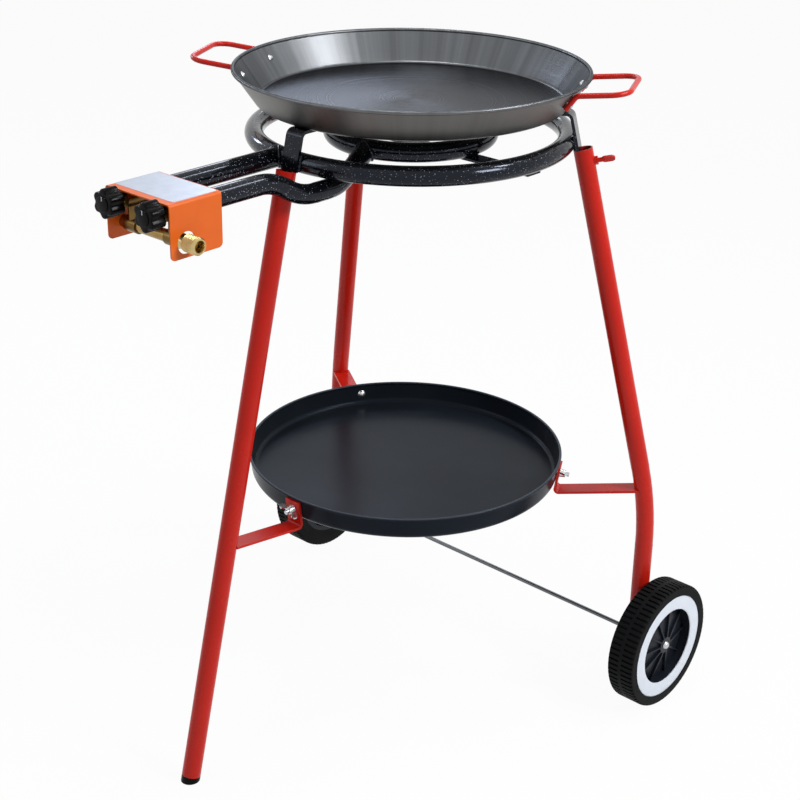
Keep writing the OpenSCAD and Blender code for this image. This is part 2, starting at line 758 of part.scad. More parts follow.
// Wheels: a ribbed hub with a seated tyre and a white trim ring, turning on the fixed axle
module wheel_hub(way) {
    bore_r = axle_diameter / 2 + run_fit;
    seat_r = tyre_seat / 2 - set_fit;
    rim_in = seat_r - hub_rim;
    rim_start = tyre_shoulder / 2;
    web_in = tyre_width / 2;
    boss_r = hub_boss / 2;
    web_out = boss_out - hub_web - hub_rib_height;
    color(plastic) wheel_frame(way) {
        rotate_extrude() {
            translate([bore_r, 0]) square([boss_r - bore_r, boss_out]);
            translate([rim_in, rim_start]) square([hub_rim, trim_back - rim_start]);
            polygon([
                [boss_r - over, web_out], [rim_in + over, web_in],
                [rim_in + over, web_in + hub_web], [boss_r - over, web_out + hub_web]
            ]);
        }
        for (i = [0:hub_ribs - 1]) rotate([0, 0, (i + 0.5) * 360 / hub_ribs]) upright_plate(hub_rib)
            polygon([
                [boss_r - over, web_out + hub_web / 2], [rim_in + over, web_in + hub_web / 2],
                [rim_in + over, web_in + hub_web + hub_rib_height], [boss_r - over, boss_out]
            ]);
    }
}
module tyre(way) {
    groove_r = trim_outer / 2 + set_fit;
    row = (tyre_width - tread_rib) / 2;
    low = tyre_shoulder;
    high = tyre_width - tyre_shoulder;
    step = 90 / shoulder_steps;
    path = [
        [tyre_seat / 2, low / 2], [groove_r, 0], [wheel_r - low, 0],
        for (i = [1:shoulder_steps]) [wheel_r - low + low * sin(i * step), low - low * cos(i * step)],
        for (i = [0:shoulder_steps]) [wheel_r - low + low * cos(i * step), high + low * sin(i * step)],
        [groove_r, tyre_width], [groove_r, trim_back], [tyre_seat / 2, trim_back]
    ];
    color(rubber) wheel_frame(way) difference() {
        rotate_extrude() polygon(path);
        for (i = [0:tread_slots - 1]) rotate([0, 0, i * 360 / tread_slots]) {
            translate([wheel_r - tread_slot_depth, -tread_slot_width / 2, -over])
                cube([tread_slot_depth + over, tread_slot_width, row + over]);
            rotate([0, 0, 180 / tread_slots])
                translate([wheel_r - tread_slot_depth, -tread_slot_width / 2, row + tread_rib])
                    cube([tread_slot_depth + over, tread_slot_width, row + over]);
        }
    }
}
module trim_ring(way) {
    color(trim_white) wheel_frame(way) translate([0, 0, trim_back]) rotate_extrude()
        translate([trim_inner / 2, 0]) square([(trim_outer - trim_inner) / 2, trim_thickness]);
}
module axle() { color(steel) axle_rod(axle_diameter, axle_end); }
module axle_washers() {
    color(zinc) for (way = [-1, 1]) wheel_frame(way) translate([0, 0, -turn_gap - washer_thickness])
        difference() {
            cylinder(d = washer_diameter, h = washer_thickness);
            translate([0, 0, -over])
                cylinder(d = axle_diameter + 2 * set_fit, h = washer_thickness + 2 * over);
        }
}
module axle_caps() {
    dome_r = (pow(cap_diameter / 2, 2) + pow(cap_length, 2)) / (2 * cap_length);
    color(zinc) for (way = [-1, 1]) wheel_frame(way) translate([0, 0, boss_out + turn_gap]) difference() {
        intersection() {
            cylinder(d = cap_diameter + over, h = cap_length);
            translate([0, 0, cap_length - dome_r]) sphere(r = dome_r);
        }
        translate([0, 0, -over]) cylinder(d = axle_diameter + 2 * set_fit, h = cap_length - cap_wall + over);
    }
}

// Valve group: a plate across the tube mouths carries two valves, fed by one rail under a sheet cover
module valve_plate() {
    color(enamel) burner_level() translate([0, -feed_reach, 0]) rotate([90, 0, 0])
        linear_extrude(plate_thickness) difference() {
            union() {
                square([2 * feed_offset, burner_tube], center = true);
                for (way = [-1, 1]) translate([way * feed_offset, 0]) circle(d = burner_tube);
            }
            for (way = [-1, 1]) translate([way * feed_offset, 0]) {
                circle(d = tail_diameter + 2 * set_fit);
                for (i = [0:air_holes - 1]) rotate(i * 360 / air_holes)
                    translate([(tail_diameter / 2 + tube_bore / 2) / 2, 0]) circle(d = air_hole);
            }
        }
}
module valve_cover() {
    top = ring_z + tube_r + cover_sheet / 2;
    x = cover_in + cover_sheet / 2;
    low = top + cover_sheet / 2 - cover_height;
    path = [[-x, low], [-x, top], [x, top], [x, low]];
    high = top + over;
    sill = [[cover_back, high], [cover_back, low], [cover_front, low], [cover_front, high]];
    color(orange) translate([0, axis_y, 0]) difference() {
        intersection() {
            translate([0, -cover_back, 0]) rotate([90, 0, 0]) linear_extrude(cover_front - cover_back)
                polygon(sheet(rounded(path, [cover_bend, cover_bend]), cover_sheet));
            rotate([0, 0, -90]) upright_plate(cover_width + over)
                polygon(rounded(sill, [cover_corner, cover_corner]));
        }
        translate([0, -rail_reach, rail_z]) rotate([0, 90, 0]) cylinder(d = cover_hole, h = cover_width);
        translate([0, -rail_reach, rail_z]) rotate([0, -90, 0])
            cylinder(d = rail_screw + 2 * set_fit, h = cover_width);
    }
}
module rail_frame() { translate([0, axis_y - rail_reach, rail_z]) rotate([0, 90, 0]) children(); }
module gas_rail() {
    inlet_seat = cover_in - inlet_root;
    color(brass) rail_frame() difference() {
        translate([0, 0, -cover_in]) cylinder(d = rail_diameter, h = cover_in + inlet_seat);
        translate([0, 0, rail_screw_depth + over - cover_in]) cylinder(d = rail_bore, h = cover_width);
        translate([0, 0, -cover_in - over])
            cylinder(d = rail_screw + 2 * set_fit, h = over + rail_screw_depth);
    }
}
module rail_screw_piece() {
    color(zinc) rail_frame() translate([0, 0, -cover_width / 2]) {
        translate([0, 0, -rail_screw_head]) hexagon(rail_screw_flats, rail_screw_head);
        cylinder(d = rail_screw, h = cover_sheet + rail_screw_depth - over);
    }
}
module gas_inlet() {
    inlet_seat = cover_in - inlet_root;
    thread = cover_width / 2 + inlet_shoulder;
    end = cover_width / 2 + inlet_length;
    color(brass) rail_frame() difference() {
        union() {
            translate([0, 0, inlet_seat]) cylinder(d = inlet_neck, h = thread + over - inlet_seat);
            translate([0, 0, thread]) cylinder(d = inlet_diameter, h = end - inlet_chamfer - thread);
            translate([0, 0, end - inlet_chamfer])
                cylinder(d1 = inlet_diameter, d2 = inlet_diameter - 2 * inlet_chamfer, h = inlet_chamfer);
        }
        translate([0, 0, end - inlet_bore_depth]) cylinder(d = inlet_bore, h = inlet_bore_depth + over);
        translate([0, 0, inlet_seat - over]) cylinder(d = rail_bore, h = inlet_length);
    }
}
module valve_body(way) {
    stem_hole = stem_diameter + 2 * run_fit;
    color(brass) difference() {
        union() {
            valve_frame(way) {
                translate([0, 0, barrel_back]) cylinder(d = barrel_diameter, h = barrel_length);
                translate([0, 0, barrel_front - over])
                    cylinder(d = gland_diameter, h = knob_back - gland_gap - barrel_front + over);
                translate([0, 0, feed_reach - tail_length])
                    cylinder(d = tail_diameter, h = barrel_back + over - feed_reach + tail_length);
            }
            translate([way * feed_offset, axis_y - rail_reach, rail_z])
                cylinder(d = neck_diameter, h = rail_drop);
            rail_frame() translate([0, 0, way * feed_offset])
                cylinder(d = rail_diameter + 2 * sleeve_wall, h = sleeve_width, center = true);
        }
        rail_frame() translate([0, 0, way * feed_offset])
            cylinder(d = rail_diameter + 2 * set_fit, h = sleeve_width + over, center = true);
        valve_frame(way) translate([0, 0, rail_reach]) cylinder(d = stem_hole, h = knob_back - rail_reach);
    }
}
module valve_lock_nuts() {
    color(brass) for (way = [-1, 1]) valve_frame(way) translate([0, 0, plate_front]) difference() {
        hexagon(lock_nut, lock_nut_height);
        translate([0, 0, -over])
            cylinder(d = tail_diameter + 2 * set_fit, h = lock_nut_height + 2 * over);
    }
}
module injectors() {
    color(brass) for (way = [-1, 1]) valve_frame(way)
        translate([0, 0, feed_reach - tail_length - injector_length]) difference() {
            hexagon(injector_flats, injector_length);
            translate([0, 0, -over]) cylinder(d = injector_jet, h = injector_length + 2 * over);
        }
}
module valve_stem(way) {
    color(brass) valve_frame(way) translate([0, 0, rail_reach + turn_gap])
        cylinder(d = stem_diameter, h = knob_back + stem_grip - rail_reach - turn_gap);
}
module knob(way) {
    knob_r = knob_diameter / 2;
    color(plastic) valve_frame(way) translate([0, 0, knob_back]) difference() {
        linear_extrude(knob_length) difference() {
            circle(r = knob_r);
            for (i = [0:knob_lobes - 1]) rotate(i * 360 / knob_lobes)
                translate([knob_r + knob_hollow - knob_hollow_depth, 0]) circle(r = knob_hollow);
        }
        translate([0, 0, -over])
            cylinder(d = stem_diameter + 2 * set_fit, h = stem_grip + turn_gap + over);
    }
}

// Pan: spun sheet with a rolled edge, two wire handles and their rivets
module tail_frame(turned, way) {
    z = (tail_foot.y + tail_top.y) / 2;
    wall = pan_edge_r - (pan_edge_z - z) * tan(pan_flare);
    spread = asin(way * arm_y / (wall + wire_off * cos(pan_flare)));
    translate([0, axis_y, 0]) rotate([0, 0, handle_angle + turned + spread])
        translate([wall, 0, z]) rotate([0, 90 + pan_flare, 0]) children();
}
module rivet_holes() {
    for (turned = [0, 180], way = [-1, 1]) tail_frame(turned, way)
        cylinder(d = rivet_diameter + 2 * set_fit, h = drill, center = true);
}
module paella_pan() {
    path = [[0, pan_floor_z], [pan_base / 2, pan_floor_z], [pan_edge_r, pan_edge_z]];
    color(steel) difference() {
        translate([0, axis_y, 0]) {
            rotate_extrude() polygon(sheet(rounded(path, [pan_bend]), pan_sheet));
            rotate_extrude() translate([pan_edge_r, pan_edge_z]) circle(d = pan_edge);
        }
        rivet_holes();
    }
}
module pan_handle(turned) {
    w = handle_wire;
    color(red) difference() {
        translate([0, axis_y, 0]) rotate([0, 0, handle_angle + turned])
            translate([tail_foot.x, arm_y, tail_foot.y]) rotate([0, 90 - tail_slope, 0])
                run(w, tail_run) turn(w, handle_knee, knee_turn, 0)
                run(w, arm_run) turn(w, handle_corner, 90, -90)
                run(w, handle_width - 2 * handle_corner) turn(w, handle_corner, 90, -90)
                run(w, arm_run) turn(w, handle_knee, knee_turn, 0) run(w, tail_run);
        rivet_holes();
    }
}
module handle_rivets() {
    inside = pan_sheet / 2 + stand_off(rivet_head, pan_base / 2);
    outside = wire_off + handle_wire / 2;
    color(zinc) for (turned = [0, 180], way = [-1, 1]) tail_frame(turned, way) {
        translate([0, 0, -inside - rivet_head_height / 2])
            cylinder(d = rivet_diameter, h = inside + outside + (rivet_head_height + rivet_tail_height) / 2);
        translate([0, 0, -inside - rivet_head_height])
            cylinder(d1 = rivet_diameter, d2 = rivet_head, h = rivet_head_height);
        translate([0, 0, outside]) cylinder(d1 = rivet_tail, d2 = rivet_diameter, h = rivet_tail_height);
    }
}

outer_burner_ring();
inner_burner_ring();
outer_feed_tube();
inner_feed_tube();
cross_strap();
pan_support(FRONT);  // front_pan_support
pan_support(RIGHT);  // right_pan_support
pan_support(LEFT);  // left_pan_support
valve_plate();
valve_cover();
gas_rail();
gas_inlet();
rail_screw_piece();  // rail_screw
valve_body(-1);  // outer_valve_body
valve_body(1);  // inner_valve_body
valve_lock_nuts();
injectors();
valve_stem(-1);  // outer_valve_stem
valve_stem(1);  // inner_valve_stem
knob(-1);  // outer_knob
knob(1);  // inner_knob
leg(FRONT);  // front_leg
leg(RIGHT);  // right_leg
leg(LEFT);  // left_leg
foot_plug_cap();
clamp_nuts();
clamp_screw_piece(FRONT);  // front_clamp_screw
clamp_screw_piece(RIGHT);  // right_clamp_screw
clamp_screw_piece(LEFT);  // left_clamp_screw
tray_bracket(FRONT);  // front_tray_bracket
tray_bracket(RIGHT);  // right_tray_bracket
tray_bracket(LEFT);  // left_tray_bracket
lower_tray();
tray_bolts();
wing_nut(FRONT);  // front_wing_nut
wing_nut(RIGHT);  // right_wing_nut
wing_nut(LEFT);  // left_wing_nut
axle();
axle_washers();
axle_caps();
wheel_hub(1);  // right_wheel_hub
wheel_hub(-1);  // left_wheel_hub
tyre(1);  // right_tyre
tyre(-1);  // left_tyre
trim_ring(1);  // right_trim_ring
trim_ring(-1);  // left_trim_ring
paella_pan();
pan_handle(0);  // right_pan_handle
pan_handle(180);  // left_pan_handle
handle_rivets();
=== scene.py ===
import math

import bmesh
import bpy
from mathutils import Matrix, Vector


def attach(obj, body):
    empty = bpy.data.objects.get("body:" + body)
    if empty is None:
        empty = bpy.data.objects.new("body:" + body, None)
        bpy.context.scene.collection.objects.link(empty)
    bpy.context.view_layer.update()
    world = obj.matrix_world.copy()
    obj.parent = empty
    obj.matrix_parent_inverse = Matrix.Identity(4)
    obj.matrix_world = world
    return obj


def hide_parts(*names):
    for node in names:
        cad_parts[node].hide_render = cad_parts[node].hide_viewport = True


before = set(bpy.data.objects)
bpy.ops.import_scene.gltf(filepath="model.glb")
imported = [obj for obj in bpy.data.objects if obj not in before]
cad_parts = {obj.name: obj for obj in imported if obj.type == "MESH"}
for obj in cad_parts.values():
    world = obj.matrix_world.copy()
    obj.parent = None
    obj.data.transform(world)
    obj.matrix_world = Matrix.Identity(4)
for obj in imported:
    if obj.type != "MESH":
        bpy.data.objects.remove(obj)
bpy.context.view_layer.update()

# Camera: it stands where the photograph was taken from, at the front right of the burner and above its rim,
# with a long lens and a slight roll.
camera_place = (1.393, -1.453, 1.371)
camera_heading = 42
camera_dip = 24.53
camera_roll = 0.97
camera = bpy.data.objects.new("camera", bpy.data.cameras.new("camera"))
camera.data.sensor_width = 36
camera.data.lens = 74.4
camera.matrix_world = (
    Matrix.Translation(camera_place)
    @ Matrix.Rotation(math.radians(camera_heading), 4, "Z")
    @ Matrix.Rotation(math.radians(90 - camera_dip), 4, "X")
    @ Matrix.Rotation(math.radians(camera_roll), 4, "Z")
)
bpy.context.scene.collection.objects.link(camera)
bpy.context.scene.camera = camera
bpy.context.scene.view_settings.view_transform = "Standard"


# Studio: a seamless pale paper floor under soft lamps, with white all round.
# The floor and the world are white to the eye and in reflections, and the floor keeps a faint shadow.
# Two of the lamps on the left are a little blue, as daylight is.
def linear(code):
    parts = [int(code[i:i + 2], 16) / 255 for i in (1, 3, 5)]
    return [c / 12.92 if c <= 0.04045 else ((c + 0.055) / 1.055) ** 2.4 for c in parts] + [1.0]


def add(tree, kind, sockets=None, **settings):
    made = tree.nodes.new(kind)
    for name, value in settings.items():
        setattr(made, name, value)
    for name, value in (sockets or {}).items():
        if isinstance(value, bpy.types.NodeSocket):
            tree.links.new(value, made.inputs[name])
        else:
            made.inputs[name].default_value = value
    return made


def blank_tree(block):
    block.use_nodes = True
    block.node_tree.nodes.clear()
    return block.node_tree


def seen_rays(tree):
    # One for rays from the eye, from a reflection or through something clear, and nought for falling light
    path = add(tree, "ShaderNodeLightPath")
    seen = add(tree, "ShaderNodeMath", {0: path.outputs["Is Camera Ray"], 1: path.outputs["Is Glossy Ray"]},
               operation="MAXIMUM")
    seen = add(tree, "ShaderNodeMath", {0: seen.outputs[0], 1: path.outputs["Is Transmission Ray"]},
               operation="MAXIMUM")
    return seen.outputs[0]


def object_from(shape, name, material):
    mesh = bpy.data.meshes.new(name)
    shape.to_mesh(mesh)
    shape.free()
    mesh.materials.append(material)
    made = bpy.data.objects.new(name, mesh)
    bpy.context.scene.collection.objects.link(made)
    return made


# The paper is matt white, and most of what the eye sees of it is even glow, so its shadow stays faint.
paper_glow = 0.95
paper = bpy.data.materials.new("pale_studio_paper")
tree = blank_tree(paper)
matt = add(tree, "ShaderNodeBsdfDiffuse", {"Color": linear("#f4f4f4")})
glow = add(tree, "ShaderNodeEmission", {"Color": (1, 1, 1, 1), "Strength": 1.0})
share = add(tree, "ShaderNodeMath", {0: seen_rays(tree), 1: paper_glow}, operation="MULTIPLY")
mixed = add(tree, "ShaderNodeMixShader", {0: share.outputs[0], 1: matt.outputs[0], 2: glow.outputs[0]})
add(tree, "ShaderNodeOutputMaterial", {"Surface": mixed.outputs[0]})
shape = bmesh.new()
bmesh.ops.create_grid(shape, x_segments=1, y_segments=1, size=12)
floor = object_from(shape, "floor", paper)

world = bpy.data.worlds.new("white_room")
bpy.context.scene.world = world
tree = blank_tree(world)
light_level = add(tree, "ShaderNodeMapRange", {"Value": seen_rays(tree), "To Min": 0.2, "To Max": 1.0})
sky = add(tree, "ShaderNodeBackground", {"Color": (1, 1, 1, 1), "Strength": light_level.outputs[0]})
add(tree, "ShaderNodeOutputWorld", {"Surface": sky.outputs[0]})

for name, place, aim, size, power, tint in (
    ("right_softbox", (2.6, 0.5, 2.2), (0, 0.1, 0.6), 0.8, 50, "#ffffff"),
    ("front_softbox", (-1.5, -2.1, 2.0), (0, 0.1, 0.6), 1.2, 10, "#ffffff"),
    ("back_softbox", (1.6, 1.3, 3.0), (0, 0.1, 0.7), 0.4, 20, "#ffffff"),
    ("left_softbox", (-2.9, 0.1, 1.75), (0, 0.1, 0.8), 0.4, 16, "#dbe7ff"),
    ("top_softbox", (0.0, -0.3, 3.2), (0, 0, 0.8), 0.5, 16, "#ffffff"),
    ("tube_strip", (0.7, 1.46, 2.67), (0, -0.2, 0.8), 0.3, 5, "#ffffff"),
    ("pan_softbox", (-1.2, 1.1, 1.6), (-0.05, -0.05, 0.84), 0.4, 3.8, "#dee7fa"),
):
    lamp = bpy.data.lights.new(name, "AREA")
    lamp.shape = "SQUARE"
    lamp.size = size
    lamp.energy = power
    lamp.color = linear(tint)[:3]
    holder = bpy.data.objects.new(name, lamp)
    holder.location = place
    holder.visible_camera = False
    holder.rotation_euler = (Vector(aim) - Vector(place)).to_track_quat("-Z", "Y").to_euler()
    bpy.context.scene.collection.objects.link(holder)


# Burner: two rings and two feed tubes of bent steel tube, a flat strap under them and three pan supports.
# All are welded up and then fired together with black speckled enamel.
enamel = bpy.data.materials.new("speckled_vitreous_enamel")
tree = blank_tree(enamel)
place = add(tree, "ShaderNodeTexCoord").outputs["Object"]
# Fired frit leaves pale specks of under a millimetre, one every 2.5 mm or so, and most of them are faint.
dots = add(tree, "ShaderNodeTexVoronoi", {"Vector": place, "Scale": 1 / 0.0025})
lucky = add(tree, "ShaderNodeSeparateColor", {"Color": dots.outputs["Color"]})
reach = dots.outputs["Distance"]
spot = add(tree, "ShaderNodeMapRange", {"Value": reach, "From Min": 0.30, "From Max": 0.12})
chosen = add(tree, "ShaderNodeMapRange", {"Value": lucky.outputs["Red"], "From Min": 0.35, "From Max": 1.3})
speck = add(tree, "ShaderNodeMath", {0: spot.outputs[0], 1: chosen.outputs[0]}, operation="MULTIPLY")
glaze = add(tree, "ShaderNodeMix", {0: speck.outputs[0], 6: linear("#080a0e"), 7: linear("#c0c6d2")},
            data_type="RGBA")
# The glass flowed before it set, so its gloss is broken by shallow waves some 7 mm long.
flow = add(tree, "ShaderNodeTexNoise", {"Vector": place, "Scale": 1 / 0.007, "Detail": 2.0})
wave = add(tree, "ShaderNodeBump", {"Height": flow.outputs[0], "Strength": 0.25, "Distance": 0.0005})
gloss = add(tree, "ShaderNodeMapRange", {"Value": flow.outputs[0], "To Min": 0.06, "To Max": 0.18})
shader = add(tree, "ShaderNodeBsdfPrincipled", {
    "Base Color": glaze.outputs[2], "Roughness": gloss.outputs[0], "Normal": wave.outputs[0],
    "IOR": 1.5, "Specular IOR Level": 0.3, "Specular Tint": linear("#dbe6ff"),
})
add(tree, "ShaderNodeOutputMaterial", {"Surface": shader.outputs[0]})


def finish_nodes(material, *names):
    for name in names:
        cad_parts[name].material_slots[0].material = material


finish_nodes(enamel, "outer_burner_ring", "inner_burner_ring", "outer_feed_tube", "inner_feed_tube",
             "cross_strap", "front_pan_support", "right_pan_support", "left_pan_support", "valve_plate")


# Weld beads: ripples of weld metal where the feed tubes enter their rings and where the supports join.
# They were laid by hand, so their width wanders, and the enamel runs over them.
burner_axis_y = 0.106164
ring_height = 0.800
outer_ring_radius = 0.202
inner_ring_radius = 0.101
tube_radius = 0.0125
feed_offset = 0.035
feed_bead_width = 0.0042
support_bead_width = 0.0046


def weld_bead(name, points, closed, width):
    line = bpy.data.curves.new(name, "CURVE")
    line.dimensions = "3D"
    line.bevel_depth = width / 2
    line.bevel_resolution = 3
    line.use_fill_caps = True
    spline = line.splines.new("POLY")
    spline.points.add(len(points) - 1)
    spline.use_cyclic_u = closed
    for i, (knot, point) in enumerate(zip(spline.points, points)):
        knot.co = (*point, 1)
        knot.radius = 1 + 0.14 * math.sin(i * 1.9) + 0.08 * math.sin(i * 0.63)
    drawn = bpy.data.objects.new(name + "_line", line)
    bpy.context.scene.collection.objects.link(drawn)
    bpy.context.view_layer.update()
    mesh = bpy.data.meshes.new_from_object(drawn.evaluated_get(bpy.context.evaluated_depsgraph_get()))
    mesh.name = name
    bpy.data.objects.remove(drawn)
    mesh.shade_smooth()
    bead = bpy.data.objects.new(name, mesh)
    mesh.materials.clear()
    mesh.materials.append(enamel)
    bpy.context.scene.collection.objects.link(bead)
    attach(bead, "stand")


def saddle(landing, way, ring_radius):
    # Points where a tube's skin meets a ring's skin, walking back from the ring's middle line
    count = 56
    stride = 0.0002
    farthest = 0.02
    lift = 0.0004
    way = Vector(way).normalized()
    up = way.orthogonal().normalized()
    over = way.cross(up)
    points = []
    for i in range(count):
        turn = 2 * math.pi * i / count
        skin = Vector(landing) + tube_radius * (up * math.cos(turn) + over * math.sin(turn))
        back = 0.0
        while back < farthest:
            spot = skin - way * back
            if math.hypot(math.hypot(spot.x, spot.y) - ring_radius, spot.z) > tube_radius + lift:
                break
            back += stride
        points.append(skin - way * back + Vector((0, burner_axis_y, ring_height)))
    return points


outer_landing = (-feed_offset, -math.sqrt(outer_ring_radius ** 2 - feed_offset ** 2), 0)
outer_way = (0, 1, 0)
inner_landing = (0.018, -0.09938, 0)
inner_way = (-0.268, 0.912, 0.309)
weld_bead("outer_feed_weld", saddle(outer_landing, outer_way, outer_ring_radius), True, feed_bead_width)
weld_bead("inner_feed_weld", saddle(inner_landing, inner_way, inner_ring_radius), True, feed_bead_width)
# Each pan support slopes as its leg does, and a short bead runs down both edges of its bar.
lean = math.radians(13.5)
support_reach = 0.2139
support_height = 0.80292
support_half_width = 0.0133
bead_step = 0.0014
for name, turn in (("front", 270), ("right", 30), ("left", 150)):
    for edge, side in (("a", -1), ("b", 1)):
        points = []
        for i in range(15):
            along = (i - 7) * bead_step
            reach = support_reach - math.sin(lean) * along
            height = support_height + math.cos(lean) * along
            spot = Vector((reach, side * support_half_width, height))
            spot = Matrix.Rotation(math.radians(turn), 3, "Z") @ spot
            points.append(spot + Vector((0, burner_axis_y, 0)))
        weld_bead(f"{name}_support_weld_{edge}", points, False, support_bead_width)


# Valve group: brass rail, two cast valve bodies with their stems, lock nuts and injectors.
# Turned brass shows fine bright rings, and handling browns it in places. Under the cover the brass is painted
# darker, and darker still on the castings, as painted shade.
brasses = {}
for name, pale, brown in (
    ("turned_brass", "#d6c08a", "#a8905e"),
    ("brass_in_painted_shade", "#b3965a", "#7d6238"),
    ("brass_in_deep_painted_shade", "#80683c", "#523e20"),
):
    brass = bpy.data.materials.new(name)
    tree = blank_tree(brass)
    place = add(tree, "ShaderNodeTexCoord").outputs["Object"]
    tarnish = add(tree, "ShaderNodeTexNoise", {"Vector": place, "Scale": 1 / 0.012, "Detail": 3.0})
    tone = add(tree, "ShaderNodeMix", {0: tarnish.outputs[0], 6: linear(pale), 7: linear(brown)},
               data_type="RGBA")
    stretch = add(tree, "ShaderNodeMapping", {"Vector": place, "Scale": (1, 0.02, 0.02)})
    # Tool marks lie every 0.4 mm along the rail; they are drawn at about 1 mm so that they show.
    tooling = add(tree, "ShaderNodeTexNoise", {"Vector": stretch.outputs[0], "Scale": 1 / 0.001,
                                               "Detail": 1.0})
    marks = add(tree, "ShaderNodeBump", {"Height": tooling.outputs[0], "Strength": 0.25, "Distance": 0.0002})
    dull = add(tree, "ShaderNodeMapRange", {"Value": tarnish.outputs[0], "To Min": 0.16, "To Max": 0.36})
    shader = add(tree, "ShaderNodeBsdfPrincipled", {
        "Base Color": tone.outputs[2], "Metallic": 1.0, "Roughness": dull.outputs[0],
        "Normal": marks.outputs[0],
    })
    add(tree, "ShaderNodeOutputMaterial", {"Surface": shader.outputs[0]})
    brasses[name] = brass
# The rail's darker brass is painted shade under the cover, and the castings, stems, lock nuts and injectors
# get deeper painted shade.
finish_nodes(brasses["brass_in_painted_shade"], "gas_rail")
finish_nodes(brasses["brass_in_deep_painted_shade"], "outer_valve_body", "inner_valve_body", "valve_lock_nuts", "injectors",
             "outer_valve_stem", "inner_valve_stem")


# Gas inlet: a turned brass spigot with a half-inch pipe thread, chamfered at its mouth.
# It is screwed to the end of the rail and passes through a wide hole in the cover.
def spun_piece(name, outline, foot, axis, material, body, steps=72, crease=40):
    # The outline is pairs of radius and distance along the axis, in millimetres.
    # It closes on itself, or on the axis where it starts there.
    along = Vector(axis).normalized()
    across = along.orthogonal().normalized()
    shape = bmesh.new()
    ring = [shape.verts.new(Vector(foot) + across * r / 1000 + along * d / 1000) for r, d in outline]
    last = ring[1:] if outline[0][0] == 0 else ring[1:] + ring[:1]
    edges = [shape.edges.new((a, b)) for a, b in zip(ring, last)]
    bmesh.ops.spin(shape, geom=ring + edges, cent=foot, axis=along, angle=2 * math.pi, steps=steps,
                   use_merge=True, use_duplicate=False)
    bmesh.ops.remove_doubles(shape, verts=shape.verts, dist=1e-6)
    bmesh.ops.recalc_face_normals(shape, faces=shape.faces)
    piece = object_from(shape, name, material)
    piece.data.shade_smooth()
    piece.data.set_sharp_from_angle(angle=math.radians(crease))
    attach(piece, body)
    return piece


rail_middle = (0, -0.323836, 0.7665)
# The sizes of the spigot and its thread are in millimetres.
thread_pitch = 1.814
thread_turns = 10
crest = 10.5
root = 9.5
outline = [(4, 47.5), (9, 47.5), (9, 56)]
for i in range(thread_turns):
    start = 56.4 + i * thread_pitch
    outline += [(root, start), (crest, start + 0.7), (crest, start + 1.1)]
outline += [(root, 75.0), (10.3, 75.3), (9, 77), (7.3, 77), (7, 76.6), (7, 63), (4, 63)]
inlet = spun_piece("threaded_gas_inlet", outline, rail_middle, (1, 0, 0),
                   brasses["turned_brass"], "stand")
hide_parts("gas_inlet")


# Valve cover: steel sheet folded to a U and powder coated orange.
# The powder melted to a fine even texture with a satin shine.
orange_coat = bpy.data.materials.new("orange_powder_coat")
tree = blank_tree(orange_coat)
place = add(tree, "ShaderNodeTexCoord").outputs["Object"]
cloud = add(tree, "ShaderNodeTexNoise", {"Vector": place, "Scale": 1 / 0.03, "Detail": 2.0})
tone = add(tree, "ShaderNodeMix", {0: cloud.outputs[0], 6: linear("#ea6c1c"), 7: linear("#dd6015")},
           data_type="RGBA")
# Powder grain is about 0.5 mm; it is drawn at 1.2 mm so that it shows.
grain = add(tree, "ShaderNodeTexNoise", {"Vector": place, "Scale": 1 / 0.0012, "Detail": 1.0})
skin = add(tree, "ShaderNodeBump", {"Height": grain.outputs[0], "Strength": 0.18, "Distance": 0.00025})
shader = add(tree, "ShaderNodeBsdfPrincipled", {
    "Base Color": tone.outputs[2], "Roughness": 0.38, "Normal": skin.outputs[0], "IOR": 1.5,
    "Specular IOR Level": 0.3,
})
add(tree, "ShaderNodeOutputMaterial", {"Surface": shader.outputs[0]})
finish_nodes(orange_coat, "valve_cover")


# Rating plate: a bare sheet of silvered foil stuck on top of the cover, with round corners.
# Nothing is printed on it, and the foil lies a little unevenly on the coat.
foil = bpy.data.materials.new("silvered_foil")
tree = blank_tree(foil)
place = add(tree, "ShaderNodeTexCoord").outputs["Object"]
crumple = add(tree, "ShaderNodeTexNoise", {"Vector": place, "Scale": 1 / 0.014, "Detail": 3.0})
tone = add(tree, "ShaderNodeMix", {0: crumple.outputs[0], 6: linear("#c4cbd7"), 7: linear("#a8b2c1")},
           data_type="RGBA")
wrinkle = add(tree, "ShaderNodeBump", {"Height": crumple.outputs[0], "Strength": 0.3, "Distance": 0.0006})
shader = add(tree, "ShaderNodeBsdfPrincipled", {
    "Base Color": tone.outputs[2], "Metallic": 0.6, "Roughness": 0.35, "Normal": wrinkle.outputs[0],
})
add(tree, "ShaderNodeOutputMaterial", {"Surface": shader.outputs[0]})
plate_middle = (-0.001, -0.3045, 0.81415)
plate_size = (0.102, 0.064, 0.0003)
plate_corner = 0.003
shape = bmesh.new()
bmesh.ops.create_cube(shape, size=1,
                      matrix=Matrix.Translation(plate_middle) @ Matrix.Diagonal((*plate_size, 1)))
upright = [e for e in shape.edges if abs(e.verts[0].co.z - e.verts[1].co.z) > 0.0001]
bmesh.ops.bevel(shape, geom=upright, offset=plate_corner, affect="EDGES", segments=5, profile=0.5,
                material=-1)
plate = object_from(shape, "bare_rating_plate", foil)
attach(plate, "stand")


